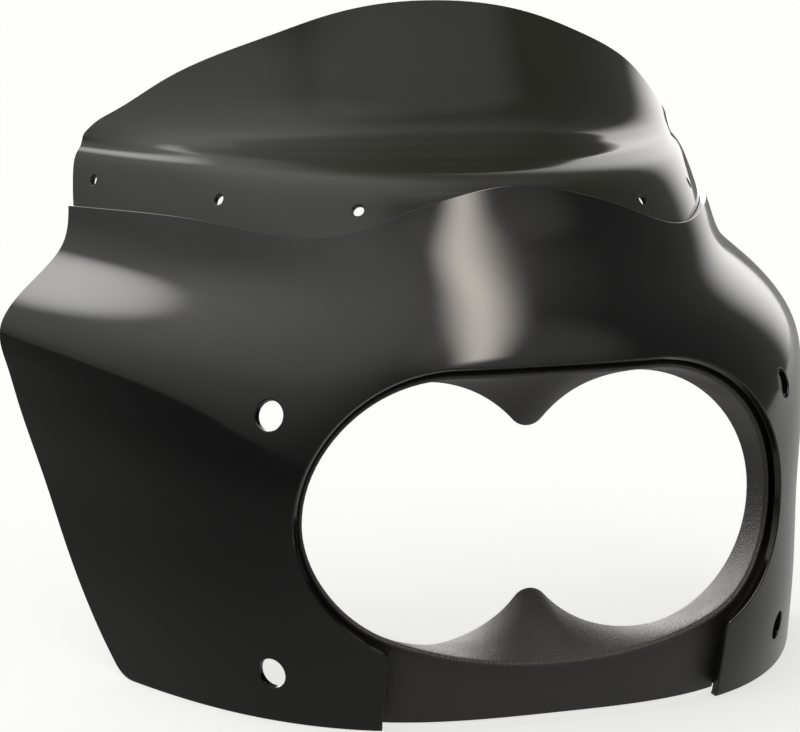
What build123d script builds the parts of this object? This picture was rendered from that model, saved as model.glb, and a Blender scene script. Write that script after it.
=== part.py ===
"""Motorcycle fairing for a pair of side-by-side headlamps: shell, headlight surround and windshield.

Millimetres, +Z up, front towards -Y. The origin lies on the symmetry plane, at the height of the
shell's level lower edge, halfway between the foremost and the rearmost point.
"""
import os
from math import asin, cos, hypot, pi, sin, sqrt

from build123d import *

# Sheet thicknesses, and the clearance between one formed sheet and the next
shell_wall = 4.8
surround_wall = 3.0
windshield_wall = 4.0
seat_gap = 0.5

# Plan sections. At each height the half section runs from the nose on the symmetry plane
# along nose + section_reach * (x / half_width) ** fullness, so half_width is the section's
# half breadth at section_reach behind its nose, and fullness squares the nose.
section_reach = 270.0
rear_limit = 188.0
half_section_steps = 6
section_count = 15

# The shell's stations: height, nose, half_width, fullness. Smooth curves join them upwards.
shell_stations = (
    (-40, -167, 286, 3.0),
    (0, -180, 277, 3.15),
    (52, -193, 268, 3.35),
    (112, -198, 264.5, 3.4),
    (172, -189, 273, 3.4),
    (212, -180, 278, 3.0),
    (242, -163, 257, 2.8),
    (267, -137, 237, 2.7),
    (292, -110, 238, 2.85),
    (319, -94, 236, 2.65),
    (336, -86, 235, 2.6),
)

# The shell's rear edge in side view, from the lower corner up to the neck: depth, height
lower_edge_end = -10.0
rear_corner_radius = 24.0
rear_edge = ((42, 52), (92, 112), (122, 172), (130, 212), (141, 252), (161, 300))

# The shell's upper edge in front view: a raised peak in the middle and a dip beside it
neck_edge = ((0, 321), (41, 315), (77, 304), (95, 297), (112, 292), (130, 290), (177, 294), (250, 287))

# The headlamp opening in front view: a level top, round upper ends, fuller lower corners and a wide
# bowed bottom, all tangent. Under it the chin is open down to the lower edge.
opening_height = 125.5
opening_spacing = 65.0
opening_radius = 96.0
corner_spacing = 81.0
bottom_radius = 315.5
chin_half_width = 111.0

# The four mounting holes, drilled square to the skin
mount_radius = 9.5
mount_half_spacing = 170.0
mount_heights = (32.0, 192.0)

# The surround's margin seats inside the shell, its flange stands deeper, its bead rings the funnel
flange_depth = 12.0
flange_reveal = 4.0
rim_width = 7.0
rim_length = 12.0
bead_rise = 3.0
bead_inset = 3.0
bead_width = 5.0
bead_length = 5.0
chin_lift = 1.5
rim_lift = 4.0

# The lamp hole at the funnel's back: two circles with rounded tips between them
lamp_spacing = 70.5
lamp_radius = 82.0
lamp_height = 122.0
tip_radius = 13.0
funnel_back = -116.0
funnel_front = -194.0
run_steps = 12

# The stretch of skin that carries the surround: its level sections and its half width
patch_sections = (1, 12)
patch_half_width = 185.0

# The windshield's rows, from its hidden lower margin up: depth, height, half_width, fullness.
# A shallow ledge comes first, then an upright blade.
windshield_rows = (
    (-125, 268, 233, 2.77),
    (-98.5, 298, 234, 2.83),
    (-85.5, 320, 232.5, 2.6),
    (-54, 330, 236, 2.75),
    (-12, 337, 251, 2.9),
    (17, 345, 262, 3.0),
    (32, 358, 264, 3.0),
    (46, 380, 262, 3.0),
    (62, 408, 264, 3.0),
    (74, 432, 275, 3.0),
    (81, 450, 288, 3.0),
)
row_count = 30
windshield_tuck = 10.0

# The windshield's crown and side in front view, its rear edge in side view and its screw holes
crown = (
    (0, 430),
    (36, 428),
    (82, 418),
    (107, 409),
    (135, 398),
    (174, 377),
    (205, 353),
    (219, 340),
    (226, 328),
)
windshield_rear = ((142, 262), (162, 295), (175, 325), (179, 440))
screw_radius = 3.6
screw_places = ((96, 306), (165, 306.5), (221, 308))

# Reach of the cutting outlines past the whole fairing
ahead = -300.0
behind = 300.0
above = 500.0
below = 60.0


def smooth(values, places, place):
    """Value at a place on the smooth curve through values, each standing at its own place."""
    last = len(places) - 1
    index = max(i for i in range(last) if places[i] <= place or i == 0)

    def slope(i):
        low, high = max(i - 1, 0), min(i + 1, last)
        return (values[high] - values[low]) / (places[high] - places[low])

    span = places[index + 1] - places[index]
    t = (place - places[index]) / span
    start, end = values[index], values[index + 1]
    return (
        (2 * t**3 - 3 * t**2 + 1) * start
        + (t**3 - 2 * t**2 + t) * span * slope(index)
        + (3 * t**2 - 2 * t**3) * end
        + (t**3 - t**2) * span * slope(index + 1)
    )


def station_at(stations, height):
    """Nose, half width and fullness at a height."""
    heights, *columns = zip(*stations)
    return [smooth(column, heights, height) for column in columns]


def plan_section(nose, half_width, fullness):
    """Points of a section from its left end at the rear limit round the nose to its right end."""
    end = half_width * ((rear_limit - nose) / section_reach) ** (1 / fullness)
    steps = range(-half_section_steps, half_section_steps + 1)
    places = [end * step / half_section_steps for step in steps]
    return [(x, nose + section_reach * (abs(x) / half_width) ** fullness) for x in places]


def section_heights():
    """Heights of the level plan sections, evenly spaced from the lowest station to the highest."""
    lowest, highest = shell_stations[0][0], shell_stations[-1][0]
    return [lowest + (highest - lowest) * level / section_count for level in range(section_count + 1)]


def skin_form():
    """Solid between the shell's skin and the rear plane, lofted through level plan sections."""
    with BuildPart() as form:
        for height in section_heights():
            with BuildSketch(Plane.XY.offset(height)):
                with BuildLine():
                    points = plan_section(*station_at(shell_stations, height))
                    Spline(*points)
                    Line(points[-1], points[0])
                make_face()
        loft()
    return form.part


def mirrored(points):
    """A half outline's points continued over the symmetry plane, from left to right."""
    return [(-x, z) for x, z in reversed(points[1:])] + list(points)


def front_prism(sketch):
    """The prism that a front-view outline cuts through the whole fairing."""
    with BuildPart() as prism:
        extrude(sketch, amount=behind, both=True)
    return prism.part


def outline_arcs(inset):
    """The opening's outline drawn inwards by an inset: radii and centres of its three arcs on the right,
    and the turn from the top at which the lower corner meets the bottom."""
    corner_radius = opening_spacing + opening_radius - corner_spacing
    reach = bottom_radius - corner_radius
    rise = sqrt(reach**2 - corner_spacing**2)
    upper = (opening_radius - inset, opening_spacing, opening_height)
    corner = (corner_radius - inset, corner_spacing, opening_height)
    bottom = (bottom_radius - inset, 0, opening_height + rise)
    return upper, corner, bottom, pi - asin(corner_spacing / reach)


def arc_point(arc, turn):
    """Front-view point of an arc at a turn from its top, clockwise."""
    radius, x, height = arc
    return x + radius * sin(turn), height + radius * cos(turn)


def outline_point(run, inset):
    """Front-view point of the opening's outline. Run goes from 0 at the top middle over the level top
    to 1, by the upper end to 1.5, by the lower corner to 2 and along the bottom to 3 in its middle."""
    upper, corner, bottom, meeting = outline_arcs(inset)
    if run < 1:
        return run * opening_spacing, opening_height + opening_radius - inset
    if run < 1.5:
        return arc_point(upper, pi * (run - 1))
    if run < 2:
        return arc_point(corner, pi / 2 + (meeting - pi / 2) * (2 * run - 3))
    return arc_point(bottom, meeting + (pi - meeting) * (run - 2))


def outline_prism(inset, lowest=None):
    """The opening's outline drawn inwards by an inset, as a prism, with its chin if a height is given."""
    with BuildSketch(Plane.XZ) as outline:
        with BuildLine():
            Line(outline_point(0, inset), outline_point(1, inset))
            for start, middle, end in ((1, 1.25, 1.5), (1.5, 1.75, 2), (2, 2.5, 3)):
                ThreePointArc(*(outline_point(run, inset) for run in (start, middle, end)))
            Line(outline_point(3, inset), outline_point(0, inset))
        make_face()
        mirror(about=Plane.YZ)
        if lowest is not None:
            with Locations((0, lowest)):
                Rectangle(
                    2 * (chin_half_width - inset), opening_height - lowest, align=(Align.CENTER, Align.MIN)
                )
    return front_prism(outline.sketch)


def region_above(edge):
    """Everything above a front-view edge, given as a half outline, as a prism."""
    with BuildSketch(Plane.XZ) as outline:
        with BuildLine():
            Spline(*mirrored(edge))
            end = edge[-1]
            Polyline(end, (end[0], above), (-end[0], above), (-end[0], end[1]))
        make_face()
    return front_prism(outline.sketch)


def trim(face, inside, *outside):
    """The piece of a face that lies inside one solid and outside the others."""
    kept = face.intersect(inside).faces()[0]
    for solid in outside:
        kept = (kept - solid).faces()[0]
    return kept


def drill(face, places, radius, wall):
    """Holes through the wall behind a face, square to it, at front-view places on both sides."""
    for x, height in places:
        for side in (-1, 1):
            line = Axis((side * x, ahead, height), (0, 1, 0))
            point, normal = face.find_intersection_points(line)[0]
            with Locations(Plane(origin=point + normal, z_dir=normal)):
                Hole(radius=radius, depth=3 * wall)


# The whole outer skin as one face, and what lies behind its side-view outline
skin = skin_form().faces().sort_by(Axis.Y)[0]

with BuildPart() as side_block:
    with BuildSketch(Plane.YZ) as side_outline:
        with BuildLine():
            Polyline((ahead, above), (ahead, 0), (lower_edge_end, 0))
            Spline((lower_edge_end, 0), *rear_edge)
            Polyline(rear_edge[-1], (rear_edge[-1][0], above), (ahead, above))
        make_face()
        lower_corner = side_outline.vertices().sort_by_distance((0, lower_edge_end, 0))[0]
        fillet(lower_corner, rear_corner_radius)
    extrude(amount=behind, both=True)

# Fairing shell: the skin trimmed to its edges, with the lamp opening and four holes
with BuildPart() as fairing_shell:
    shell_face = trim(skin, side_block.part, region_above(neck_edge), outline_prism(0, -below))
    thicken(shell_face, amount=-shell_wall)
    drill(skin, [(mount_half_spacing, height) for height in mount_heights], mount_radius, shell_wall)
fairing_shell.part.label = "fairing_shell"


def eight_point(run, grow):
    """Front-view point of the lamp hole, grown outwards: a rounded tip and the lamp circle's inner arc
    up to run 1, its outer half circle up to 2, then the inner arc and the tip below up to 3."""
    radius, tip = lamp_radius + grow, tip_radius - grow
    tip_turn = asin(lamp_spacing / (radius + tip))
    near = min(run, 3 - run)
    travel = near * tip_turn * (radius + tip)
    if near > 1:
        x, rise = arc_point((radius, lamp_spacing, 0), pi * (near - 1))
    elif travel > tip_turn * tip:
        x, rise = arc_point((radius, lamp_spacing, 0), (travel - tip_turn * tip) / radius - tip_turn)
    else:
        x, drop = arc_point((tip, 0, 0), travel / tip)
        rise = sqrt((radius + tip) ** 2 - lamp_spacing**2) - drop
    return x, lamp_height + (rise if run < 1.5 else -rise)


def skin_depth(x, height):
    """Depth along Y of the skin at a front-view point."""
    nose, half_width, fullness = station_at(shell_stations, height)
    return nose + section_reach * (abs(x) / half_width) ** fullness


def behind_skin(x, height, depth):
    """Depth along Y of the point that lies a given thickness behind the skin."""
    across = (skin_depth(abs(x) + 1, height) - skin_depth(abs(x) - 1, height)) / 2
    upward = (skin_depth(x, height + 1) - skin_depth(x, height - 1)) / 2
    return skin_depth(x, height) + depth * hypot(1, across, upward)


def wall_point(run, depth, grow):
    """Front-view point of the funnel's straight wall at a depth along Y, grown outwards: the wall runs
    from the bead's inner edge to the lamp hole."""
    mouth_x, mouth_z = outline_point(run, bead_inset + bead_width - grow)
    end_x, end_z = eight_point(run, grow)
    share = (depth - funnel_back) / (behind_skin(mouth_x, mouth_z, flange_depth) - funnel_back)
    return end_x + (mouth_x - end_x) * share, end_z + (mouth_z - end_z) * share


def funnel_form(grow, back):
    """Solid inside the funnel's wall, grown outwards, from ahead of the flange to a depth."""
    with BuildPart() as form:
        for depth in (back, funnel_front):
            half = [wall_point(step / run_steps, depth, grow) for step in range(3 * run_steps + 1)]
            with BuildSketch(Plane.XZ.offset(-depth)):
                with BuildLine():
                    Spline(*half, *[(-x, z) for x, z in half[-2:0:-1]], periodic=True)
                make_face()
        loft(ruled=True)
    return form.part


def front_patch(depth):
    """The face that runs at a depth behind the skin, round the lamps and the chin."""
    rows = []
    for height in section_heights()[slice(*patch_sections)]:
        steps = range(-half_section_steps, half_section_steps + 1)
        places = [patch_half_width * step / half_section_steps for step in steps]
        rows.append([Vector(x, behind_skin(x, height, depth), height) for x in places])
    return Face.make_surface_from_array_of_points(rows, tol=0.02)


def layer(depth, thickness, outside, *inside):
    """A layer within a front-view outline, from a depth behind the skin rearwards."""
    return Solid.extrude(trim(front_patch(depth), outside, *inside), Vector(0, thickness, 0))


# Headlight surround: a rim seated inside the shell, a deeper flange with its chin, a bead and a funnel
seat_depth = shell_wall + seat_gap
rim_outline = outline_prism(-flange_reveal - rim_width, rim_lift)
flange_outline = outline_prism(-flange_reveal - rim_width / 2, chin_lift)

with BuildPart() as headlight_surround:
    add(layer(flange_depth + surround_wall / 2, behind, outline_prism(-flange_reveal)))
    add(funnel_form(surround_wall, funnel_back), mode=Mode.INTERSECT)
    add(layer(flange_depth, surround_wall, flange_outline))
    add(layer(flange_depth - bead_rise, bead_length, outline_prism(bead_inset)))
    add(layer(seat_depth, rim_length, rim_outline, outline_prism(-flange_reveal, -below)))
    add(funnel_form(0, funnel_back + surround_wall), mode=Mode.SUBTRACT)
headlight_surround.part.label = "headlight_surround"


# Windshield: a sheet whose rows are plan sections, trimmed to its crown, rear edges and hidden margin
def windshield_skin():
    """The windshield's outer face, through evenly spaced rows up its profile."""
    columns = list(zip(*windshield_rows))
    travels = [0.0]
    for (depth, height, *_), (next_depth, next_height, *_) in zip(windshield_rows, windshield_rows[1:]):
        travels.append(travels[-1] + hypot(next_depth - depth, next_height - height))
    rows = []
    for row in range(row_count + 1):
        travel = travels[-1] * row / row_count
        nose, height, half_width, fullness = (smooth(column, travels, travel) for column in columns)
        rows.append([Vector(x, y, height) for x, y in plan_section(nose, half_width, fullness)])
    return Face.make_surface_from_array_of_points(rows, tol=0.05)


pane = windshield_skin()
with BuildPart() as rear_block:
    with BuildSketch(Plane.YZ):
        with BuildLine():
            Spline(*windshield_rear)
            first, last = windshield_rear[0], windshield_rear[-1]
            Polyline(last, (behind, last[1]), (behind, first[1]), first)
        make_face()
    extrude(amount=behind, both=True)

with BuildPart() as windshield:
    tucked_edge = [(x, height - windshield_tuck) for x, height in neck_edge]
    pane_face = trim(pane, region_above(tucked_edge), region_above(crown), rear_block.part)
    thicken(pane_face, amount=windshield_wall)
    drill(pane, screw_places, screw_radius, windshield_wall)
windshield.part.label = "windshield"

os.makedirs("parts", exist_ok=True)
for piece in (fairing_shell, headlight_surround, windshield):
    export_step(piece.part, f"parts/{piece.part.label}.step")
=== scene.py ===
"""Motorcycle fairing for two side-by-side headlamps, finished in Blender around its CAD frame.

The shell, the headlight surround and the windshield are worked out as surfaces: each is a function of
two parameters, laid out as a grid, given its thickness along its normals and a rounded saw-cut edge.
Formulas are in millimetres, in the frame of the CAD part: +Z up, the front towards -Y.
"""
import math
from types import SimpleNamespace

import bpy
import numpy as np
from mathutils import Matrix, Vector


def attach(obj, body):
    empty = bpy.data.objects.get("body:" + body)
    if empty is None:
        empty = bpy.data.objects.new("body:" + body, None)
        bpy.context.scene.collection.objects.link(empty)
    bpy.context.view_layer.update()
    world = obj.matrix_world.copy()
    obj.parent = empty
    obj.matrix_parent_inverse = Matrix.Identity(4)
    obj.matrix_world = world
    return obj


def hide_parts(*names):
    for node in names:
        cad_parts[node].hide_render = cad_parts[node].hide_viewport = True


bl_info = {
    "name": "Twin Lamp Fairing",
    "version": (1, 0, 0),
    "blender": (4, 5, 0),
    "location": "3D View > Sidebar > Fairing",
    "description": "Builds a motorcycle fairing with a headlight surround and a recurved windshield",
    "category": "Add Mesh",
}

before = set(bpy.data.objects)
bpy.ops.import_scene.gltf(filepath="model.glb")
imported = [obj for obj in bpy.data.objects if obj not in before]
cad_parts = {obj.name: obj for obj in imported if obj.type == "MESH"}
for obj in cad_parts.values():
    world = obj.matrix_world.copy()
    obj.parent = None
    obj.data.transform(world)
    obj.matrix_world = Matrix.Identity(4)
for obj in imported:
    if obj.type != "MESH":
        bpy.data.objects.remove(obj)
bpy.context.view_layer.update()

MM = 0.001

# Depth behind the nose at which a level section reaches its half width
SECTION_REACH = 270.0

# Shell stations: height, nose, half width at the section reach, fullness
SHELL_STATIONS = (
    (-40, -167, 286, 3.0),
    (0, -180, 277, 3.15),
    (52, -193, 268, 3.35),
    (112, -198, 264.5, 3.4),
    (172, -189, 273, 3.4),
    (212, -180, 278, 3.0),
    (242, -163, 257, 2.8),
    (267, -137, 237, 2.7),
    (292, -110, 238, 2.85),
    (319, -94, 236, 2.65),
    (336, -86, 235, 2.6),
)
SHELL_LEVELS = 16

# The free sides spring in after forming: start, run and greatest amount
SPRING_START, SPRING_RUN, SPRING_IN = 170, 100, 1.9

# Rear edge in side view: depth, height. Neck, the upper edge, in front view: breadth, height
REAR_EDGE = ((-10, 0), (42, 52), (92, 112), (122, 172), (130, 212), (141, 252), (161, 300))
NECK_EDGE = ((0, 321), (41, 315), (77, 304), (95, 297), (112, 292), (130, 290), (177, 294), (250, 287))

# Distance from the lower rear corner at which the rear edge's direction is taken
CORNER_SIGHT = 20

# Windshield rows up the profile: depth, height, half width, fullness
WINDSHIELD_ROWS = (
    (-125, 268, 233, 2.77),
    (-98.5, 298, 234, 2.83),
    (-85.5, 320, 232.5, 2.6),
    (-54, 330, 236, 2.75),
    (-12, 337, 251, 2.9),
    (17, 345, 262, 3.0),
    (32, 358, 264, 3.0),
    (46, 380, 262, 3.0),
    (62, 408, 264, 3.0),
    (74, 432, 275, 3.0),
    (81, 450, 288, 3.0),
)
WINDSHIELD_LEVELS = 31

# Windshield's crown in front view: breadth, height. Its rear edge in side view: depth, height
CROWN = ((0, 430), (36, 428), (82, 418), (107, 409), (135, 398), (174, 377))
CROWN += ((205, 353), (219, 340), (226, 328))
WINDSHIELD_REAR = ((141.4, 262), (161.4, 295), (173, 325), (176.6, 440))

# Holes in front view: breadth, height
SCREW_PLACES = ((96, 306), (165, 306.5), (221, 308))
MOUNT_PLACES = ((170, 192), (170, 32))

# Points of a fine line that is cut into cells later, and how many of them a softened corner takes
FINE_POINTS = 1200
OPENING_SOFTENING, WINDSHIELD_SOFTENING = 14, 12

# Shell grid: cells along the stretches of its two boundaries, rows between them, and the cuts: breadths
# on the opening's upper side, its chin corner's height, a breadth on the neck, heights on the rear edge
SHELL_CELLS = (30, 40, 40, 44, 18)
SHELL_ROWS = 58
OPENING_CUTS = (65, 135)
CHIN_CUT = 51
NECK_CUT = 105
REAR_CUTS = (150, 42)

# Windshield grid: points across and up, and rounds of relaxation
WINDSHIELD_POINTS = (150, 84)
RELAXATIONS = 120

# Turns of a rounded edge from a face to its crest, rings from a block of cells in to a hole's edge, and
# half size of the block in hole radii
LIP_TURNS = (22.5, 45, 67.5, 90)
RING_SHARES = (0.3, 0.55, 0.75, 0.9, 1.0)
BLOCK_REACH = 1.7

# Surround: points along half of its outline, run at which the chin panel's side meets its lower edge, room
# for the rounded outer edge, and crests of that edge and of the lamp hole's lip
SURROUND_POINTS, CHIN_RUN = 133, 2.2
EDGE_ROOM, EDGE_CREST, HOLE_CREST = 0.8, 0.7, 1.2

# Lower half of the lamp hole: how far it comes forward and drops, what the tip between the lamps adds,
# and over which breadth
HOLE_FORWARD, TIP_FORWARD, FORWARD_BREADTH = 7.5, 4.0, 30
HOLE_DROP, TIP_DROP, DROP_BREADTH = 1.6, 2.0, 25

# Seating margin: chamfer, thickness along Y and lowest point
RIM_CHAMFER, RIM_THICKNESS, RIM_LOWEST = 0.6, 12.0, 4.5

# Camera of the photograph: place in metres, turn to the right and fall in degrees
CAMERA_PLACE = (-0.5444, -1.5350, 0.4850)
CAMERA_TURN, CAMERA_FALL = 18.0, 10.26

# Overhead strip in metres: place of its middle along Y, height and length
STRIP_DEPTH, STRIP_HEIGHT, STRIP_LENGTH = -0.62, 1.5, 1.5


def in_mm(form):
    """The lengths of a property group, in millimetres."""
    return SimpleNamespace(**{key: getattr(form, key) / MM for key in form.__annotations__})


def length(name, description, default):
    """A length property, in metres."""
    return bpy.props.FloatProperty(name=name, description=description, default=default, unit="LENGTH")


def number(name, description, default):
    """A plain number property."""
    return bpy.props.FloatProperty(name=name, description=description, default=default, unit="NONE")


class SheetForm(bpy.types.PropertyGroup):
    """Thicknesses, edges and holes of the formed sheets."""

    shell_wall: length("Shell Wall", "Thickness of the shell", 0.0048)
    windshield_wall: length("Windshield Wall", "Thickness of the windshield", 0.004)
    edge_radius: length("Edge Radius", "Rounding of the trimmed edges", 0.0009)
    mount_radius: length("Mount Radius", "Radius of the mounting holes", 0.0095)
    screw_radius: length("Screw Radius", "Radius of the windshield's screw holes", 0.0036)
    corner_radius: length("Corner Radius", "Radius of the shell's lower rear corner", 0.024)
    tuck: length("Tuck", "Overlap of the windshield behind the shell's upper edge", 0.010)


class SurroundForm(bpy.types.PropertyGroup):
    """The lamp opening, and the surround behind it."""

    opening_height: length("Opening Height", "Height of the opening's widest line", 0.1255)
    opening_spacing: length("Opening Spacing", "Half distance of the upper round ends", 0.065)
    opening_radius: length("Opening Radius", "Radius of the upper round ends", 0.096)
    corner_spacing: length("Corner Spacing", "Half distance of the lower corners' centres", 0.081)
    bottom_radius: length("Bottom Radius", "Radius of the bowed bottom", 0.3155)
    chin_half_width: length("Chin Half Width", "Half width of the open chin", 0.111)
    flange_depth: length("Flange Depth", "Depth of the flange behind the skin", 0.012)
    seat_depth: length("Seat Depth", "Depth of the seating margin behind the skin", 0.0053)
    reveal: length("Reveal", "Room between the opening's edge and the seating margin", 0.004)
    rim_width: length("Rim Width", "Breadth of the seating margin", 0.007)
    wall: length("Wall", "Thickness of the surround", 0.003)
    bead_inset: length("Bead Inset", "Distance of the bead from the opening's edge", 0.003)
    bead_width: length("Bead Width", "Breadth of the bead", 0.005)
    bead_rise: length("Bead Rise", "Height of the bead over the flange", 0.003)
    chin_lift: length("Chin Lift", "Height of the chin panel's lower edge", 0.0015)
    lamp_spacing: length("Lamp Spacing", "Half distance of the lamp circles", 0.0705)
    lamp_radius: length("Lamp Radius", "Radius of the lamp circles", 0.082)
    lamp_height: length("Lamp Height", "Height of the lamp circles", 0.122)
    tip_radius: length("Tip Radius", "Radius of the tips between the lamp circles", 0.013)
    funnel_back: length("Funnel Back", "Depth of the lamp hole along Y", -0.116)


class FinishForm(bpy.types.PropertyGroup):
    """Finish of the moulded and formed plastics."""

    gloss_roughness: number("Gloss Roughness", "Roughness of the polished shell", 0.09)
    screen_roughness: number("Screen Roughness", "Roughness of the windshield", 0.07)
    shell_wave: length("Shell Wave", "Pitch of the shell's long forming waves", 0.11)
    screen_wave: length("Screen Wave", "Pitch of the windshield's long forming waves", 0.16)
    grain_size: length("Grain Size", "Pitch of the surround's hair-cell grain", 0.0011)
    peel_size: length("Peel Size", "Pitch of the fine unevenness of the gloss sheet", 0.007)
    grain_strength: number("Grain Strength", "Strength of the grain's bump", 0.7)


class StageForm(bpy.types.PropertyGroup):
    """Camera and light."""

    lens: length("Lens", "Focal length of the camera", 0.1116)
    floor_size: length("Floor Size", "Side of the square floor", 60.0)
    strip_light: number("Strip Light", "Radiance in the middle of the overhead strip", 8.0)
    strip_place: length("Strip Place", "Distance of the strip to the right of the middle", 0.17)
    strip_width: length("Strip Width", "Breadth of the strip", 0.62)
    patch_light: number("Patch Light", "Radiance of the patch behind the left shoulder", 2.6)
    rim_light: number("Rim Light", "Radiance of the light low behind the fairing", 1.1)
    dome_light: number("Dome Light", "Radiance of the whole dome", 0.15)


def smooth(places, values, at):
    """Cubic Hermite curve through values at places, each slope taken over its two neighbours."""
    last = len(places) - 1
    index = np.arange(last + 1)
    low, high = np.maximum(index - 1, 0), np.minimum(index + 1, last)
    slopes = (values[high] - values[low]) / (places[high] - places[low])
    i = np.clip(np.searchsorted(places, at, side="right") - 1, 0, last - 1)
    span = places[i + 1] - places[i]
    t = (at - places[i]) / span
    return (
        (2 * t**3 - 3 * t**2 + 1) * values[i]
        + (t**3 - 2 * t**2 + t) * span * slopes[i]
        + (3 * t**2 - 2 * t**3) * values[i + 1]
        + (t**3 - t**2) * span * slopes[i + 1]
    )


def spline(x, y):
    """Cubic curve of continuous curvature through values y at places x, as a function of the place."""
    n, h = len(x), np.diff(x)
    k = np.arange(1, n - 1)
    matrix, right = np.zeros((n, n)), np.zeros(n)
    matrix[0, 0] = matrix[-1, -1] = 1
    matrix[k, k - 1], matrix[k, k], matrix[k, k + 1] = h[k - 1], 2 * (h[k - 1] + h[k]), h[k]
    right[k] = 6 * ((y[k + 1] - y[k]) / h[k] - (y[k] - y[k - 1]) / h[k - 1])
    bend = np.linalg.solve(matrix, right)

    def curve(at):
        i = np.clip(np.searchsorted(x, at, side="right") - 1, 0, n - 2)
        behind, ahead, step = at - x[i], x[i + 1] - at, h[i]
        return (
            (bend[i] * ahead**3 + bend[i + 1] * behind**3) / (6 * step)
            + (y[i] / step - bend[i] * step / 6) * ahead
            + (y[i + 1] / step - bend[i + 1] * step / 6) * behind
        )

    return curve


def mirrored_curve(points):
    """Even function of x whose right half runs through the points."""
    x, y = np.array(points, float).T
    curve = spline(np.r_[-x[:0:-1], x], np.r_[y[:0:-1], y])
    return lambda at: curve(np.abs(at))


def path_through(points, count):
    """Points spread along the smooth plane curve through the points, by the chord length."""
    points = np.array(points, float)
    travel = np.r_[0, np.cumsum(np.hypot(*np.diff(points, axis=0).T))]
    at = np.linspace(0, travel[-1], count)
    return np.stack([spline(travel, points[:, 0])(at), spline(travel, points[:, 1])(at)], axis=1)


def resample(points, count, measure=None):
    """Points at even spacing along a polyline, measured on the points themselves or on others."""
    measure = points if measure is None else measure
    travel = np.r_[0, np.cumsum(np.linalg.norm(np.diff(measure, axis=0), axis=1))]
    at = np.linspace(0, travel[-1], count)
    return np.stack([np.interp(at, travel, column) for column in points.T], axis=1)


def softened(points, reach):
    """Polyline whose corners are rounded by a weighted mean over each point's neighbours."""
    ends = [2 * points[:1] - points[reach:0:-1], points, 2 * points[-1:] - points[-2 : -reach - 2 : -1]]
    padded = np.concatenate(ends)
    window = np.hanning(2 * reach + 3)[1:-1]
    columns = [np.convolve(column, window / window.sum(), mode="valid") for column in padded.T]
    return np.stack(columns, axis=1)


def shell_skin():
    """The shell's outer skin over front-view x and height z:
    y = nose(z) + reach (drawn(|x|) / half_width(z)) ** fullness(z), all three smooth curves of z.
    drawn(x) is x plus what the free sides spring in."""
    heights, *columns = np.array(SHELL_STATIONS, float).T
    levels = np.linspace(heights[0], heights[-1], SHELL_LEVELS)
    nose, half_width, fullness = (spline(levels, smooth(heights, c, levels)) for c in columns)

    def skin(x, z):
        side = np.clip((np.abs(x) - SPRING_START) / SPRING_RUN, 0, 1)
        drawn = np.abs(x) + SPRING_IN * side**2 * (3 - 2 * side)
        depth = nose(z) + SECTION_REACH * (drawn / half_width(z)) ** fullness(z)
        return np.stack([x + 0 * z, depth, z + 0 * x], axis=-1)

    return skin


def windshield_profile():
    """Depth, height, half width and fullness of the windshield's rows as smooth curves of the travel up
    its profile, with the travel's end."""
    rows = np.array(WINDSHIELD_ROWS, float)
    travel = np.r_[0, np.cumsum(np.hypot(*np.diff(rows[:, :2], axis=0).T))]
    levels = np.linspace(0, travel[-1], WINDSHIELD_LEVELS)
    return [spline(levels, smooth(travel, c, levels)) for c in rows.T], travel[-1]


def travel_up(z):
    """Travel up the windshield's profile at a height."""
    (_, height, _, _), end = windshield_profile()
    travel = np.linspace(0, end, 3000)
    return np.interp(z, height(travel), travel)


def windshield_skin():
    """The windshield's outer skin over front-view x and the travel w up its profile:
    z = height(w), y = depth(w) + reach (|x| / half_width(w)) ** fullness(w)."""
    (depth, height, half_width, fullness), _ = windshield_profile()

    def skin(x, w):
        y = depth(w) + SECTION_REACH * (np.abs(x) / half_width(w)) ** fullness(w)
        return np.stack([x + 0 * w, y, height(w) + 0 * x], axis=-1)

    return skin


def unit(vectors):
    """Vectors scaled to a length of one."""
    return vectors / np.linalg.norm(vectors, axis=-1, keepdims=True)


def tangents(skin, a, b):
    """Both tangents and the outward normal of a skin, by central differences."""
    e = 0.02
    along_a = (skin(a + e, b) - skin(a - e, b)) / (2 * e)
    along_b = (skin(a, b + e) - skin(a, b - e)) / (2 * e)
    return along_a, along_b, unit(np.cross(along_a, along_b))


def moved(skin, ab, offset):
    """Skin parameters moved so that the point travels by a small offset within the skin."""
    along_a, along_b, _ = tangents(skin, ab[..., 0], ab[..., 1])
    aa, bb, cross = np.sum(along_a**2, -1), np.sum(along_b**2, -1), np.sum(along_a * along_b, -1)
    ra, rb = np.sum(along_a * offset, -1), np.sum(along_b * offset, -1)
    det = aa * bb - cross**2
    return ab + np.stack([(bb * ra - cross * rb) / det, (aa * rb - cross * ra) / det], axis=-1)


def inset(skin, ab, distance):
    """A boundary, walked with the sheet on its left seen from outside, drawn in by a distance."""
    along = unit(np.gradient(skin(*ab.T), axis=0))
    normal = tangents(skin, *ab.T)[2]
    return moved(skin, ab, np.cross(normal, along) * distance)


def behind(skin, front, distance):
    """Points at a distance behind the skin, measured square to it, for front-view points."""
    place = skin(*front.T)
    normal = tangents(skin, *front.T)[2]
    place[:, 1] += distance / np.abs(normal[:, 1])
    return place


def side_breadth(skin, y, z):
    """Breadth at which the skin stands at a depth, by halving an interval."""
    low, high = 60.0, 330.0
    for _ in range(40):
        mid = 0.5 * (low + high)
        if skin(np.float64(mid), np.float64(z))[1] < y:
            low = mid
        else:
            high = mid
    return 0.5 * (low + high)


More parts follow.
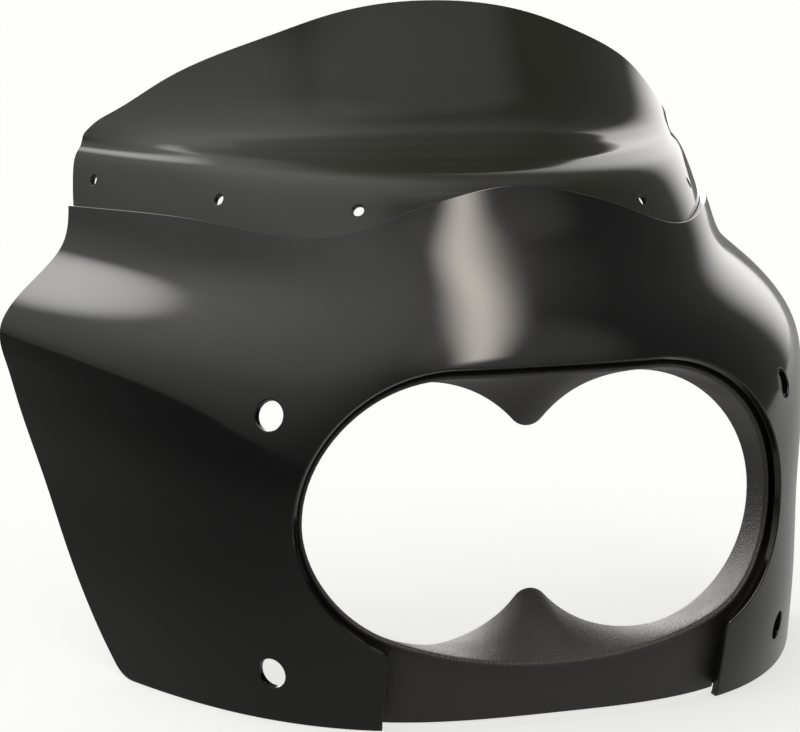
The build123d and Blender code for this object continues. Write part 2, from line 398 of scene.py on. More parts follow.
def strips(rows, closed_along, closed_across):
    """Quads between index rows of equal length."""
    rows = np.asarray(rows)
    if closed_along:
        rows = np.concatenate([rows, rows[:, :1]], axis=1)
    if closed_across:
        rows = np.concatenate([rows, rows[:1]], axis=0)
    a, b, c, d = rows[:-1, :-1], rows[:-1, 1:], rows[1:, 1:], rows[1:, :-1]
    return np.stack([a, b, c, d], axis=-1).reshape(-1, 4)


def make_piece(name, points, normals, quads, material):
    """Mesh object from points in millimetres, with its faces turned along the normals."""
    corner = points[quads]
    facing = np.cross(corner[:, 2] - corner[:, 0], corner[:, 3] - corner[:, 1])
    wrong = np.sum(facing * normals[quads].mean(axis=1), axis=1) < 0
    quads[wrong] = quads[wrong][:, ::-1]
    mesh = bpy.data.meshes.new(name)
    mesh.vertices.add(len(points))
    mesh.vertices.foreach_set("co", (points * MM).astype(np.float32).ravel())
    mesh.loops.add(4 * len(quads))
    mesh.loops.foreach_set("vertex_index", quads.astype(np.int32).ravel())
    mesh.polygons.add(len(quads))
    mesh.polygons.foreach_set("loop_start", np.arange(0, 4 * len(quads), 4, dtype=np.int32))
    mesh.update(calc_edges=True)
    mesh.validate()
    mesh.shade_smooth()
    mesh.normals_split_custom_set_from_vertices(normals.astype(np.float32).tolist())
    mesh.materials.append(material)
    piece = bpy.data.objects.new(name, mesh)
    bpy.context.scene.collection.objects.link(piece)
    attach(piece, "root")
    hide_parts(name.removeprefix("visual_"))


def block_rim(block):
    """Closed loop of indices round a block of grid points."""
    return np.r_[block[:-1, 0], block[-1, :-1], block[:0:-1, -1], block[0, :0:-1]]


def hole_rings(skin, centre, rim_params, rim_points, radius):
    """Rings of skin parameters from a block's rim in to the circle round a hole's centre, with the
    circle's points from the centre."""
    along, _, normal = tangents(skin, *centre)
    first = unit(along)
    second = np.cross(normal, first)
    offset = rim_points - skin(*centre)
    turn = np.arctan2(offset @ second, offset @ first)
    circle = radius * (np.cos(turn)[:, None] * first + np.sin(turn)[:, None] * second)
    target = moved(skin, np.repeat(centre[None], len(turn), axis=0), circle)
    return [rim_params * (1 - share) + target * share for share in RING_SHARES], circle


def lip_profile(wall, edge):
    """Turn and depth below the outer face of the points of a sheet's rounded edge: a quarter round from
    each face, with the flat cut between them."""
    front = [math.radians(turn) for turn in LIP_TURNS]
    profile = [(turn, edge * (1 - math.cos(turn))) for turn in front]
    return profile + [(math.pi - turn, wall - sink) for turn, sink in profile[::-1]]


def sheet_piece(name, skin, grid, holes, wall, edge, slot, material):
    """Closed sheet from a grid of skin parameters, with round holes and rounded edges. No edge reaches
    below the floor."""
    params = grid.reshape(-1, 2)
    index = np.arange(len(params)).reshape(grid.shape[:2])
    kept = np.ones((grid.shape[0] - 1, grid.shape[1] - 1), bool)
    points = skin(grid[..., 0], grid[..., 1])
    flat = points.reshape(-1, 3)
    border = block_rim(index)
    inside = np.r_[index[:-1, 1], index[-2, :-1], index[:0:-1, -2], index[1, :0:-1]]
    loops = [(border, flat[border] - flat[inside])]
    extra, ring_quads = [], []
    total = len(params)
    for x, b, radius in holes:
        centre = np.array([x, b], float)
        distance = np.linalg.norm(points - skin(*centre), axis=-1)
        i, j = np.unravel_index(np.argmin(distance), distance.shape)
        steps = [np.linalg.norm(points[near] - points[i, j]) for near in ((i + 1, j), (i, j + 1))]
        ri, rj = [math.ceil(BLOCK_REACH * radius / step) + 1 for step in steps]
        rim = block_rim(index[i - ri : i + ri + 1, j - rj : j + rj + 1])
        kept[i - ri : i + ri, j - rj : j + rj] = False
        rings, circle = hole_rings(skin, centre, params[rim], flat[rim], radius + edge)
        rows = [rim, *(np.arange(len(rim)) + total + k * len(rim) for k in range(len(rings)))]
        total += len(rings) * len(rim)
        extra += rings
        ring_quads.append(strips(rows, True, False))
        loops.append((rows[-1], -circle))
    params = np.concatenate([params, *extra])
    quads = strips(index, False, False).reshape(*kept.shape, 4)[kept]
    quads = np.concatenate([quads, *ring_quads])
    outer = skin(*params.T)
    normals = tangents(skin, *params.T)[2]
    all_points, all_normals = [outer, outer - wall * normals], [normals, -normals]
    all_quads = [quads, quads + total]
    count = 2 * total
    for loop, outwards in loops:
        side = unit(np.cross(outer[np.roll(loop, -1)] - outer[np.roll(loop, 1)], normals[loop]))
        side *= np.sign(np.sum(side * outwards))
        rows = [loop]
        for turn, sink in lip_profile(wall, edge):
            all_points.append(outer[loop] + side * edge * math.sin(turn) - normals[loop] * sink)
            all_normals.append(side * math.sin(turn) + normals[loop] * math.cos(turn))
            rows.append(np.arange(count, count + len(loop)))
            count += len(loop)
        rows.append(loop + total)
        all_quads.append(strips(rows, True, False))
    points = np.concatenate(all_points)
    points[:, 2] = np.maximum(points[:, 2], 0)
    make_piece(name, points, np.concatenate(all_normals), np.concatenate(all_quads), material)


def spread(skin, start, end, count):
    """Grid of skin parameters on straight lines from start to end points, at even 3-D spacing."""
    fine = np.linspace(0, 1, 49)
    lines = start[:, None] + (end - start)[:, None] * fine[None, :, None]
    points = skin(lines[..., 0], lines[..., 1])
    steps = np.linalg.norm(np.diff(points, axis=1), axis=-1)
    travel = np.concatenate([np.zeros((len(start), 1)), np.cumsum(steps, axis=1)], axis=1)
    goal = np.linspace(0, 1, count)
    shares = np.stack([np.interp(goal * row[-1], row, fine) for row in travel])
    return start[:, None] + (end - start)[:, None] * shares[..., None]


def both_sides(grid):
    """A right half's grid continued over the symmetry plane."""
    return np.concatenate([grid[:0:-1] * [-1, 1], grid])


def outline_arcs(form, draw_in):
    """Radius and centre of the outline's upper, corner and bottom arcs, drawn in by a distance, and the
    turn at which the lower corner meets the bottom."""
    level = form.opening_height
    corner = form.opening_spacing + form.opening_radius - form.corner_spacing
    reach = form.bottom_radius - corner
    rise = math.sqrt(reach**2 - form.corner_spacing**2)
    return (
        (form.opening_radius - draw_in, form.opening_spacing, level),
        (corner - draw_in, form.corner_spacing, level),
        (form.bottom_radius - draw_in, 0.0, level + rise),
        math.pi - math.asin(form.corner_spacing / reach),
    )


def outline_point(form, run, draw_in):
    """Front-view points of the opening's outline, drawn in. Run 0 to 1 is the level top from its middle,
    1 to 1.5 the upper end, 1.5 to 2 the lower corner, 2 to 3 the bowed bottom to its middle."""
    upper, corner, bottom, meeting = outline_arcs(form, draw_in)
    quarter = math.pi / 2

    def on(arc, turn):
        return np.stack([arc[1] + arc[0] * np.sin(turn), arc[2] + arc[0] * np.cos(turn)], axis=-1)

    level = np.stack([np.clip(run, 0, 1) * upper[1], upper[2] + upper[0] + 0 * run], axis=-1)
    end = on(upper, math.pi * (np.clip(run, 1, 1.5) - 1))
    low = on(corner, quarter + (meeting - quarter) * (2 * np.clip(run, 1.5, 2) - 3))
    base = on(bottom, meeting + (math.pi - meeting) * (np.clip(run, 2, 3) - 2))
    pick = run[..., None]
    return np.where(pick < 1, level, np.where(pick < 1.5, end, np.where(pick < 2, low, base)))


def eight_point(form, run, grow):
    """Front-view points of the lamp hole, grown outwards: the upper tip and the lamp circle's inner arc
    up to run 1, its outer half circle up to 2, the inner arc and the lower tip up to 3."""
    radius, tip = form.lamp_radius + grow, form.tip_radius - grow
    spacing, level = form.lamp_spacing, form.lamp_height
    tip_turn = math.asin(spacing / (radius + tip))
    near = np.minimum(run, 3 - run)
    travel = near * tip_turn * (radius + tip)
    half = math.pi * (near - 1)
    inner = (travel - tip_turn * tip) / radius - tip_turn
    turn = np.where(near > 1, half, inner)
    on_tip = travel < tip_turn * tip
    tip_level = math.sqrt((radius + tip) ** 2 - spacing**2)
    x = np.where(on_tip, tip * np.sin(travel / tip), spacing + radius * np.sin(turn))
    rise = np.where(on_tip, tip_level - tip * np.cos(travel / tip), radius * np.cos(turn))
    return np.stack([x, level + np.where(run < 1.5, rise, -rise)], axis=-1)


def chin_corner_run(form, grow):
    """Run at which the outline, grown outwards, meets the chin's side."""
    _, corner, _, meeting = outline_arcs(form, -grow)
    turn = math.pi - math.asin((form.chin_half_width + grow - corner[1]) / corner[0])
    return 1.5 + 0.5 * (turn - math.pi / 2) / (meeting - math.pi / 2)


def opening_half(form, grow, lowest, count):
    """Right half of the opening with its chin, from the top middle down to a height."""
    turn = outline_point(form, np.linspace(0, chin_corner_run(form, grow), 240), -grow)
    side = form.chin_half_width + grow
    down = np.stack([np.full(30, side), np.linspace(turn[-1, 1], lowest, 30)], axis=1)
    sharp = resample(np.concatenate([turn, down[1:]]), FINE_POINTS)
    return resample(softened(sharp, OPENING_SOFTENING), count)


def srgb(code):
    """Linear colour of a hex code."""
    values = np.array([int(code[i : i + 2], 16) for i in (0, 2, 4)]) / 255
    linear = np.where(values <= 0.04045, values / 12.92, ((values + 0.055) / 1.055) ** 2.4)
    return (*linear.tolist(), 1.0)


def node(tree, kind, inputs=None, **settings):
    """Adds a node, sets its options and its inputs, of which a socket is linked and anything else is a
    value, and gives its outputs."""
    made = tree.nodes.new("ShaderNode" + kind)
    for key, value in settings.items():
        setattr(made, key, value)
    for key, value in (inputs or {}).items():
        if isinstance(value, bpy.types.NodeSocket):
            tree.links.new(value, made.inputs[key])
        else:
            made.inputs[key].default_value = value
    return made.outputs


def new_material(name):
    """Material with an empty node tree."""
    material = bpy.data.materials.new(name)
    material.use_nodes = True
    material.node_tree.nodes.clear()
    return material, material.node_tree


def mapped(tree, value, start, stop, low, high, kind="LINEAR"):
    """A value spread from low to high while another runs from start to stop."""
    inputs = {"Value": value, "From Min": start, "From Max": stop, "To Min": low, "To Max": high}
    return node(tree, "MapRange", inputs, interpolation_type=kind)[0]


def calculated(tree, operation, *values):
    """Result of a math node."""
    return node(tree, "Math", dict(enumerate(values)), operation=operation)[0]


def noises(tree, coords, *kinds):
    """Noise textures of the given pitches in metres and details."""
    return [
        node(tree, "TexNoise", {"Vector": coords, "Scale": 1 / pitch, "Detail": detail})[0]
        for pitch, detail in kinds
    ]


def finish_plastic(tree, patch, colour, tint, inputs):
    """Shader of a plastic whose colour lies between two hex codes, joined to the material's output."""
    mixed = node(tree, "Mix", {"Factor": patch, 6: srgb(colour), 7: srgb(tint)}, data_type="RGBA")[2]
    shader = node(tree, "BsdfPrincipled", {"Base Color": mixed, "IOR": 1.5, **inputs})
    node(tree, "OutputMaterial", {"Surface": shader[0]})


def gloss_sheet(name, colour, tint, roughness, peel, wave):
    """Gloss plastic sheet, thermoformed: black ABS for the shell, smoked cast acrylic for the windshield."""
    material, tree = new_material(name)
    coords = node(tree, "TexCoord")["Object"]
    # The polished sheet mirrors the studio. Forming leaves long flat waves, which bend the edges of the
    # highlights, and a fine orange peel, which makes them tremble. Handling dulls it in patches a hand
    # wide. Its rubbing marks, a tenth of a millimetre fine, are too fine to show and are drawn at 1.8 mm.
    hand, rub = 0.09, 0.0018
    fine, long, patch, wear = noises(tree, coords, (peel, 2.0), (wave, 1.0), (hand, 4.0), (rub, 3.0))
    height = calculated(tree, "MULTIPLY_ADD", long, 0.1, calculated(tree, "MULTIPLY", fine, 0.06))
    bump = node(tree, "Bump", {"Height": height, "Strength": 0.35, "Distance": 0.0006})
    dull = mapped(tree, patch, 0.35, 0.65, roughness * 0.8, roughness * 1.3)
    inputs = {
        "Roughness": calculated(tree, "MULTIPLY_ADD", wear, roughness * 0.3, dull),
        "Normal": bump[0],
        "Coat Weight": 0.2,
        "Coat Roughness": 0.03,
    }
    finish_plastic(tree, patch, colour, tint, inputs)
    return material


def grained_sheet(name, colour, tint, grain, strength):
    """Black ABS sheet with an embossed hair-cell grain, vacuum formed."""
    material, tree = new_material(name)
    coords = node(tree, "TexCoord")["Object"]
    # The grain spreads every highlight to a dull satin sheen. Its cells, about 0.8 mm wide on such sheet,
    # are too fine to show and are drawn at 1.1 mm, with a finer speckle in them. Where the sheet was
    # stretched over the mould it is a little smoother and paler, in patches of about 50 mm.
    stretch = 0.05
    warp = node(tree, "TexNoise", {"Vector": coords, "Scale": 1 / (4 * grain), "Detail": 1.0})
    bend = {0: warp[1], 1: (grain, grain, grain), 2: coords}
    warped = node(tree, "VectorMath", bend, operation="MULTIPLY_ADD")[0]
    cells = node(tree, "TexVoronoi", {"Vector": warped, "Scale": 1 / grain}, feature="F1")
    speck, patch = noises(tree, coords, (0.4 * grain, 2.0), (stretch, 3.0))
    height = calculated(tree, "MULTIPLY_ADD", speck, 0.35, cells[0])
    bump = node(tree, "Bump", {"Height": height, "Strength": strength, "Distance": 0.0004})
    inputs = {"Roughness": mapped(tree, patch, 0.35, 0.65, 0.36, 0.48), "Normal": bump[0]}
    finish_plastic(tree, patch, colour, tint, inputs)
    return material


def pale_floor():
    """Matt painted studio floor."""
    material, tree = new_material("pale_floor")
    place = node(tree, "TexCoord")["Object"]
    # The paint gives an even pale ground to the camera. To the gloss pieces it is a soft gradient, dark at
    # the left and behind, bright at the right and in front where the studio is open.
    axis = {0: place, 1: (0.8, -0.6, 0)}
    right_front = node(tree, "VectorMath", axis, operation="DOT_PRODUCT")[1]
    light = mapped(tree, right_front, -1.0, 1.6, 0.10, 0.75, "SMOOTHSTEP")
    mirrored = node(tree, "Emission", {"Color": srgb("fffefa"), "Strength": light})[0]
    paint = node(tree, "BsdfDiffuse", {"Color": srgb("c4c4c2")})[0]
    glow = node(tree, "Emission", {"Color": srgb("e4e4e2"), "Strength": 0.85})[0]
    paint = node(tree, "AddShader", {0: paint, 1: glow})[0]
    seen = node(tree, "LightPath")["Is Camera Ray"]
    shader = node(tree, "MixShader", {0: seen, 1: mirrored, 2: paint})
    node(tree, "OutputMaterial", {"Surface": shader[0]})
    return material


def nearest(values, goal):
    """Index of the value nearest to a goal."""
    return np.argmin(np.abs(values - goal))


def rounded_corner(rear, radius):
    """Rear edge in side view from the neck down, with its lower corner rounded by an arc that ends on the
    level lower edge."""
    corner = np.array([REAR_EDGE[0][0], 0.0])
    from_corner = np.hypot(*(rear - corner).T)
    way = rear[nearest(from_corner, CORNER_SIGHT)] - corner
    half = 0.5 * (math.pi - math.atan2(way[1], way[0]))
    cut = radius / math.tan(half)
    rear = rear[from_corner > cut]
    stop = corner - [cut, 0]
    t = np.linspace(0, 1, 40)[1:, None]
    pull = 2 * math.sin(half) * t * (1 - t)
    arc = ((1 - t) ** 2 * rear[-1] + pull * corner + t**2 * stop) / ((1 - t) ** 2 + pull + t**2)
    return np.concatenate([rear, arc])


def shell_edges(form, skin):
    """Right half of the shell's free outline in front view: the neck from the middle out, and the rear
    edge from there down and round the lower corner."""
    neck, rear = mirrored_curve(NECK_EDGE), path_through(REAR_EDGE, FINE_POINTS)
    x = np.linspace(0, NECK_EDGE[-1][0], 1500)
    over = skin(x, neck(x))[:, 1] - np.interp(neck(x), rear[:, 1], rear[:, 0])
    x_end = np.interp(0, over, x)
    along = np.linspace(0, x_end, 500)
    rear = rounded_corner(rear[rear[:, 1] < neck(x_end)][::-1], form.corner_radius)
    breadths = [side_breadth(skin, y, z) for y, z in rear]
    return np.stack([along, neck(along)], axis=1), np.stack([breadths, rear[:, 1]], axis=1)


def shell_grid(form, surround, skin):
    """Right half of the shell's grid, from the lamp opening with its chin out to the neck, rear and lower
    corner. Both boundaries are cut into the same stretches and joined by straight lines in front view."""
    inner = opening_half(surround, 0.0, 0.0, 900)
    widest = np.argmax(inner[:, 0])
    chin = np.hypot(inner[:, 0] - surround.chin_half_width, inner[:, 1] - CHIN_CUT)
    cuts_in = [nearest(inner[:widest, 0], x) for x in OPENING_CUTS]
    cuts_in = [0, *cuts_in, widest, np.argmin(chin), len(inner) - 1]
    neck, side = shell_edges(form, skin)
    outer = np.concatenate([neck, side[1:]])
    last = len(neck) - 1
    cuts_out = [last + nearest(side[:, 1], z) for z in REAR_CUTS]
    cuts_out = [0, nearest(neck[:, 0], NECK_CUT), last, *cuts_out, len(outer) - 1]
    lines = []
    for line, cuts in ((inner, cuts_in), (outer, cuts_out)):
        points = skin(*line.T)
        parts = [
            resample(line[a : b + 1], count + 1, points[a : b + 1])[:-1]
            for a, b, count in zip(cuts, cuts[1:], SHELL_CELLS)
        ]
        lines.append(np.concatenate([*parts, line[-1:]]))
    start, end = lines
    middle = start[-1] + (end[-1] - start[-1]) * np.linspace(0, 1, 7)[1:-1, None]
    drawn = inset(skin, np.concatenate([start, middle, end[::-1]]), form.edge_radius)
    start, end = drawn[: len(start)], drawn[: -len(start) - 1 : -1]
    start[0, 0] = end[0, 0] = 0
    return both_sides(spread(skin, start, end, SHELL_ROWS))


def blended(bottom, top, left, right):
    """Grid between four boundary curves: the two straight blends added, less the corners' own blend."""
    a = np.linspace(0, 1, len(bottom))[:, None, None]
    b = np.linspace(0, 1, len(left))[None, :, None]
    level = (1 - b) * bottom[:, None] + b * top[:, None]
    rise = (1 - a) * left[None] + a * right[None]
    corners = (1 - b) * ((1 - a) * bottom[0] + a * bottom[-1]) + b * ((1 - a) * top[0] + a * top[-1])
    return level + rise - corners


def windshield_grid(form, skin):
    """Right half of the windshield's grid, between its tucked margin, its rear edge and its crown."""
    neck, crown = mirrored_curve(NECK_EDGE), mirrored_curve(CROWN)
    rear = path_through(WINDSHIELD_REAR, FINE_POINTS)

    def margin(x):
        """Height of the margin tucked behind the shell."""
        return neck(x) - form.tuck

    def edge_path(edge_line, low, high):
        """Skin parameters of an edge line from the middle out to the rear edge, met between two breadths."""
        x = np.linspace(low, high, FINE_POINTS)
        z = edge_line(x)
        over = skin(x, travel_up(z))[:, 1] - np.interp(z, rear[:, 1], rear[:, 0])
        x = np.linspace(0, np.interp(0, over, x), 800)
        return np.stack([x, travel_up(edge_line(x))], axis=1)

    def even(path, count):
        """Skin parameters at even 3-D spacing along a path."""
        return resample(path, count, skin(*path.T))

    bottom, top = edge_path(margin, 180, 245), edge_path(crown, 180, 225)
    w = np.linspace(bottom[-1, 1], top[-1, 1], 160)
    depths = np.interp(skin(0 * w, w)[:, 2], rear[:, 1], rear[:, 0])
    right = np.stack([[side_breadth(skin, y, at) for y, at in zip(depths, w)], w], axis=1)
    free = even(np.concatenate([right, top[::-1][1:]]), 700)
    corner = np.argmin(np.linalg.norm(skin(*free.T) - skin(*right[-1]), axis=1))
    free = softened(free, WINDSHIELD_SOFTENING)
    across, up = WINDSHIELD_POINTS
    parts = [even(bottom, across), even(free[: corner + 1], up)[1:], even(free[corner:], across)[1:]]
    drawn = inset(skin, np.concatenate(parts), form.edge_radius)
    bottom, right, top = drawn[:across], drawn[across - 1 : across + up - 1], drawn[across + up - 2 :][::-1]
    bottom[0, 0] = top[0, 0] = 0
    left = np.stack([np.zeros(up), np.linspace(bottom[0, 1], top[0, 1], up)], axis=1)
    grid = blended(bottom, top, left, right)
    for _ in range(RELAXATIONS):
        near = grid[2:, 1:-1] + grid[:-2, 1:-1] + grid[1:-1, 2:] + grid[1:-1, :-2]
        grid[1:-1, 1:-1] = near / 4
    return both_sides(grid)


def flange_border(form, run):
    """Front-view outer line of the flange: the opening's outline and its reveal, then the chin panel's side
    and its lower edge in to the middle."""
    reveal = form.reveal
    corner_run = chin_corner_run(form, reveal)
    corner = outline_point(form, np.array([corner_run]), -reveal)[0]
    border = outline_point(form, np.minimum(run, corner_run), -reveal)
    down = np.clip((run - corner_run) / (CHIN_RUN - corner_run), 0, 1)
    along = np.clip((3 - run) / (3 - CHIN_RUN), 0, 1)
    low = form.chin_lift + EDGE_ROOM
    border[:, 1] = np.where(run > corner_run, corner[1] + (low - corner[1]) * down, border[:, 1])
    border[:, 0] = np.where(run > CHIN_RUN, (form.chin_half_width + reveal) * along, border[:, 0])
    return border


def lamp_hole_rings(form, run):
    """Inner and outer ring of the lamp hole's lip, with the lower half drawn forward and down."""
    hole = eight_point(form, run, 0.0)
    low = np.clip((form.lamp_height - hole[:, 1]) / form.lamp_radius, 0, 1)
    forward = HOLE_FORWARD * low**1.5 + TIP_FORWARD * np.exp(-((hole[:, 0] / FORWARD_BREADTH) ** 2)) * low
    drop = HOLE_DROP * low**2 + TIP_DROP * np.exp(-((hole[:, 0] / DROP_BREADTH) ** 2)) * low
    depth = form.funnel_back - forward
    fronts = (hole, eight_point(form, run, form.wall))
    return [np.stack([front[:, 0], depth, front[:, 1] - drop], axis=1) for front in fronts]


def half_round(first, last, crest, turns):
    """Rows of a half-round edge between two lines, at the given turns, with its crest by a vector out."""
    middle, half = 0.5 * (first + last), 0.5 * (first - last)
    return [middle + half * math.cos(turn) + crest * math.sin(turn) for turn in map(math.radians, turns)]


def surround_rows(form, skin):
    """Closed cross-section rows of the surround round the whole lamp opening, for the runs 0 to 3 on the
    right and back on the left. A row is a front-view line at a depth: the flange, a half-round bead,
    the funnel's straight wall into the lamp hole, a rounded lip, and the same again behind by the wall."""
    run = np.linspace(0, 3, SURROUND_POINTS)
    wall, depth, foot, width = form.wall, form.flange_depth, form.bead_inset, form.bead_width
    border, bead_foot = flange_border(form, run), outline_point(form, run, foot)
    shares = (0.0, 0.12, 0.3, 0.5, 0.7, 0.88, 0.96)
    rows = [behind(skin, border * (1 - share) + bead_foot * share, depth) for share in shares]
    for share in np.linspace(0, 1, 11):
        crest = form.bead_rise * math.sin(math.pi * share) ** 0.75
        rows.append(behind(skin, outline_point(form, run, foot + width * share), depth - crest))
    mouth = rows[-1]
    hole, outer_hole = lamp_hole_rings(form, run)
    rows += [mouth + (hole - mouth) * share for share in np.linspace(0, 1, 17)[1:]]
    rows += half_round(hole, outer_hole, np.array([0, HOLE_CREST, 0]), (30, 60, 90, 120, 150))
    outer_foot = outline_point(form, run, foot + width - wall)
    outer_mouth = behind(skin, outer_foot, depth) + [0, wall, 0]
    rows += [outer_hole + (outer_mouth - outer_hole) * share for share in np.linspace(0, 1, 9)]
    for share in (0.1, 0.4, 0.7, 1.0):
        rows.append(behind(skin, outer_foot * (1 - share) + border * share, depth) + [0, wall, 0])
    outwards = unit((rows[0] - rows[1]) * [1, 0, 1])
    rows += half_round(rows[0], rows[-1], outwards * EDGE_CREST, (135, 90, 45))
    rows = np.array(rows)
    return np.concatenate([rows, rows[:, -2:0:-1] * [-1, 1, 1]], axis=1)


def rim_rows(form, skin):
    """Cross-section rows of the seating margin: a band behind the opening's edge, open under the chin."""
    near, far = form.reveal, form.reveal + form.rim_width
    seat, soft, thick = form.seat_depth, RIM_CHAMFER, RIM_THICKNESS
    section = (
        (near, seat + soft, 0), (near + soft, seat, 0),
        (far - soft, seat, 0), (far, seat + soft, 0),
        (far, seat, thick - soft), (far - soft, seat, thick),
        (near + soft, seat, thick), (near, seat, thick - soft),
    )
    rows = np.array([
        behind(skin, opening_half(form, grow, RIM_LOWEST, 200), depth) + [0, shift, 0]
        for grow, depth, shift in section
    ])
    return np.concatenate([rows[:, :0:-1] * [-1, 1, 1], rows], axis=1)


def grid_normals(rows, closed_along):
    """Normals of a tube-like grid of rows, averaged over neighbouring points and turned outwards."""
    if closed_along:
        along = np.roll(rows, -1, axis=1) - np.roll(rows, 1, axis=1)
    else:
        along = np.gradient(rows, axis=1)
    across = np.roll(rows, -1, axis=0) - np.roll(rows, 1, axis=0)
    normals = unit(np.cross(along, across))
    return normals * np.sign(np.sum(normals * (rows - rows.mean(axis=0))))


class FAIRING_OT_shell(bpy.types.Operator):
    """Build the gloss black shell"""

    bl_idname = "fairing.shell"
    bl_label = "Add Shell"

    def execute(self, context):
        form, finish = in_mm(context.scene.fairing_sheets), context.scene.fairing_finish
        skin = shell_skin()
        grid = shell_grid(form, in_mm(context.scene.fairing_surround), skin)
        holes = [(side * x, z, form.mount_radius) for x, z in MOUNT_PLACES for side in (-1, 1)]
        gloss = finish.gloss_roughness, finish.peel_size, finish.shell_wave
        material = gloss_sheet("gloss_black_abs", "0b0b0c", "101011", *gloss)
        lips = form.shell_wall, form.edge_radius
        sheet_piece("visual_fairing_shell", skin, grid, holes, *lips, "gloss_shell", material)
        return {"FINISHED"}


class FAIRING_OT_windshield(bpy.types.Operator):
    """Build the dark recurved windshield"""

    bl_idname = "fairing.windshield"
    bl_label = "Add Windshield"

    def execute(self, context):
        form, finish = in_mm(context.scene.fairing_sheets), context.scene.fairing_finish
        skin = windshield_skin()
        grid = windshield_grid(form, skin)
        holes = [(side * x, travel_up(z), form.screw_radius) for x, z in SCREW_PLACES for side in (-1, 1)]
        gloss = finish.screen_roughness, finish.peel_size * 2, finish.screen_wave
        material = gloss_sheet("smoked_acrylic", "33332b", "3a3a31", *gloss)
        lips = form.windshield_wall, form.edge_radius
        sheet_piece("visual_windshield", skin, grid, holes, *lips, "dark_windshield", material)
        return {"FINISHED"}


class FAIRING_OT_surround(bpy.types.Operator):
    """Build the grained surround with its bead, funnel, chin panel and seating margin"""

    bl_idname = "fairing.surround"
    bl_label = "Add Headlight Surround"

    def execute(self, context):
        form, finish = in_mm(context.scene.fairing_surround), context.scene.fairing_finish
        skin = shell_skin()
        body, rim = surround_rows(form, skin), rim_rows(form, skin)
        index = np.arange(body.shape[0] * body.shape[1]).reshape(body.shape[:2])
        rim_index = np.arange(rim.shape[0] * rim.shape[1]).reshape(rim.shape[:2]) + index.size
        # The margin's two ends are closed by three faces each, and their normals lean down
        ends = ([0, 1, 2, 3], [0, 3, 4, 7], [4, 5, 6, 7])
        caps = np.array([rim_index[corners, end] for corners in ends for end in (0, -1)])
        quads = np.concatenate([strips(index, True, True), strips(rim_index, False, True), caps])
        points = np.concatenate([body.reshape(-1, 3), rim.reshape(-1, 3)])
        rim_normals = grid_normals(rim, False)
        rim_normals[:, [0, -1]] -= [0, 0, 1]
        normals = np.concatenate([grid_normals(body, True).reshape(-1, 3), unit(rim_normals).reshape(-1, 3)])
        grain = finish.grain_size, finish.grain_strength
        material = grained_sheet("grained_black_abs", "363635", "403f3c", *grain)
        make_piece("visual_headlight_surround", points, normals, quads, material)
        return {"FINISHED"}


def overhead_strip(form):
    """Level softbox facing down, for the shell and the surround alone."""
    light = bpy.data.lights.new("overhead_strip", "AREA")
    light.shape = "RECTANGLE"
    light.size, light.size_y = form.strip_width, STRIP_LENGTH
    light.energy = form.strip_light * math.pi * form.strip_width * STRIP_LENGTH
    light.use_nodes = True
    tree = light.node_tree
    tree.nodes.clear()
    parts = node(tree, "SeparateXYZ", {0: node(tree, "NewGeometry")["Parametric"]})
    strength = 1.0
    # It fades from the middle line across, and only near its two ends along its length
    for axis, plateau in ((0, 0.0), (1, 0.38)):
        off = calculated(tree, "ABSOLUTE", calculated(tree, "SUBTRACT", parts[axis], 0.5))
        fade = mapped(tree, off, plateau, 0.5, 1.0, 0.0, "SMOOTHSTEP")
        strength = calculated(tree, "MULTIPLY", strength, fade)
    glow = node(tree, "Emission", {"Color": srgb("fff6ec"), "Strength": strength})[0]
    node(tree, "OutputLight", {"Surface": glow})
    lamp = bpy.data.objects.new("overhead_strip", light)
    lamp.location = (form.strip_place, STRIP_DEPTH, STRIP_HEIGHT)
    bpy.context.scene.collection.objects.link(lamp)
    receivers = bpy.data.collections.new("overhead_strip_lit")
    for piece in ("visual_fairing_shell", "visual_headlight_surround"):
        receivers.objects.link(bpy.data.objects[piece])
    lamp.light_linking.receiver_collection = receivers


def lobe(tree, direction, azimuth, elevation, inner, outer, strength):
    """Soft round light in the studio's dome: full inside one angle from its middle, none past another.
    Azimuth runs from the front towards +X."""
    a, e = math.radians(azimuth), math.radians(elevation)
    axis = (math.cos(e) * math.sin(a), -math.cos(e) * math.cos(a), math.sin(e))
    near = node(tree, "VectorMath", {0: direction, 1: axis}, operation="DOT_PRODUCT")[1]
    start, stop = math.cos(math.radians(outer)), math.cos(math.radians(inner))
    return mapped(tree, near, start, stop, 0.0, strength, "SMOOTHSTEP")


def studio_world(form):
    """Studio dome of soft lights: broad light from the left and above, a brighter patch behind the left
    shoulder and wide pale ones low behind the fairing and its right side."""
    world = bpy.data.worlds.new("studio")
    world.use_nodes = True
    tree = world.node_tree
    tree.nodes.clear()
    direction = node(tree, "TexCoord")["Generated"]
    # Azimuth, elevation, inner and outer angle, strength
    lobes = (
        (-120, 72, 10, 50, 0.40),
        (-105, 48, 15, 62, 0.50),
        (-158, 33, 2, 12, form.patch_light),
        (15, 55, 5, 28, 0.45),
        (152, 6, 5, 32, 1.3 * form.rim_light),
        (180, 2, 12, 30, 2.6 * form.rim_light),
    )
    total = form.dome_light
    for part in lobes:
        total = calculated(tree, "ADD", total, lobe(tree, direction, *part))
    lit = node(tree, "Background", {"Color": srgb("fffefa"), "Strength": total})[0]
    pale = node(tree, "Background", {"Color": srgb("ebebe9"), "Strength": 1.0})[0]
    seen = node(tree, "LightPath")["Is Camera Ray"]
    shader = node(tree, "MixShader", {0: seen, 1: lit, 2: pale})
    node(tree, "OutputWorld", {"Surface": shader[0]})
    return world


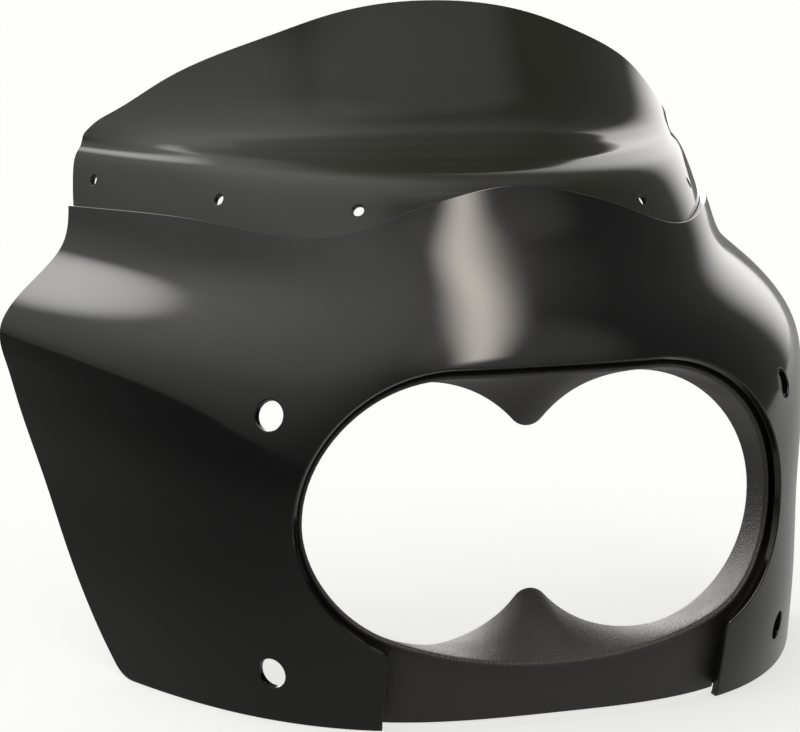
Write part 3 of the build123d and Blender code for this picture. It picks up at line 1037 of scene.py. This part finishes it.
def photo_camera(lens):
    """Camera with the photograph's view."""
    turn, fall = math.radians(CAMERA_TURN), math.radians(CAMERA_FALL)
    right = Vector((math.cos(turn), -math.sin(turn), 0))
    ahead = Vector((math.sin(turn) * math.cos(fall), math.cos(turn) * math.cos(fall), -math.sin(fall)))
    axes = Matrix((right, right.cross(ahead), -ahead)).transposed()
    data = bpy.data.cameras.new("camera")
    data.lens = lens / MM
    data.sensor_width = 36
    data.clip_end = 200
    camera = bpy.data.objects.new("camera", data)
    camera.matrix_world = Matrix.Translation(CAMERA_PLACE) @ axes.to_4x4()
    return camera


class FAIRING_OT_stage(bpy.types.Operator):
    """Add the floor, the studio light and the camera at the photograph's viewing angle"""

    bl_idname = "fairing.stage"
    bl_label = "Add Stage"

    def execute(self, context):
        form = context.scene.fairing_stage
        camera = photo_camera(form.lens)
        context.scene.collection.objects.link(camera)
        context.scene.camera = camera
        half = form.floor_size / 2
        mesh = bpy.data.meshes.new("floor")
        corners = [(-half, -half, 0), (half, -half, 0), (half, half, 0), (-half, half, 0)]
        mesh.from_pydata(corners, [], [(0, 1, 2, 3)])
        mesh.materials.append(pale_floor())
        floor = bpy.data.objects.new("floor", mesh)
        context.scene.collection.objects.link(floor)
        context.scene.world = studio_world(form)
        overhead_strip(form)
        context.scene.view_settings.view_transform = "Standard"
        return {"FINISHED"}


class FAIRING_PT_panel(bpy.types.Panel):
    """Sidebar panel with the fairing's sizes and buttons"""

    bl_idname = "FAIRING_PT_panel"
    bl_label = "Twin Lamp Fairing"
    bl_space_type = "VIEW_3D"
    bl_region_type = "UI"
    bl_category = "Fairing"

    def draw(self, context):
        layout = self.layout
        for group in GROUPS:
            settings = getattr(context.scene, group)
            column = layout.column(align=True)
            for key in settings.__annotations__:
                column.prop(settings, key)
        for operator in OPERATORS:
            layout.operator(operator.bl_idname)


GROUPS = {
    "fairing_sheets": SheetForm,
    "fairing_surround": SurroundForm,
    "fairing_finish": FinishForm,
    "fairing_stage": StageForm,
}
OPERATORS = (FAIRING_OT_shell, FAIRING_OT_surround, FAIRING_OT_windshield, FAIRING_OT_stage)


def register():
    for kind in (*GROUPS.values(), *OPERATORS, FAIRING_PT_panel):
        bpy.utils.register_class(kind)
    for name, kind in GROUPS.items():
        setattr(bpy.types.Scene, name, bpy.props.PointerProperty(type=kind))


def unregister():
    for name in GROUPS:
        delattr(bpy.types.Scene, name)
    for kind in (FAIRING_PT_panel, *OPERATORS[::-1], *list(GROUPS.values())[::-1]):
        bpy.utils.unregister_class(kind)


def main():
    """Build the fairing and its stage."""
    register()
    bpy.ops.fairing.shell()
    bpy.ops.fairing.surround()
    bpy.ops.fairing.windshield()
    bpy.ops.fairing.stage()


if __name__ == "__main__":
    main()
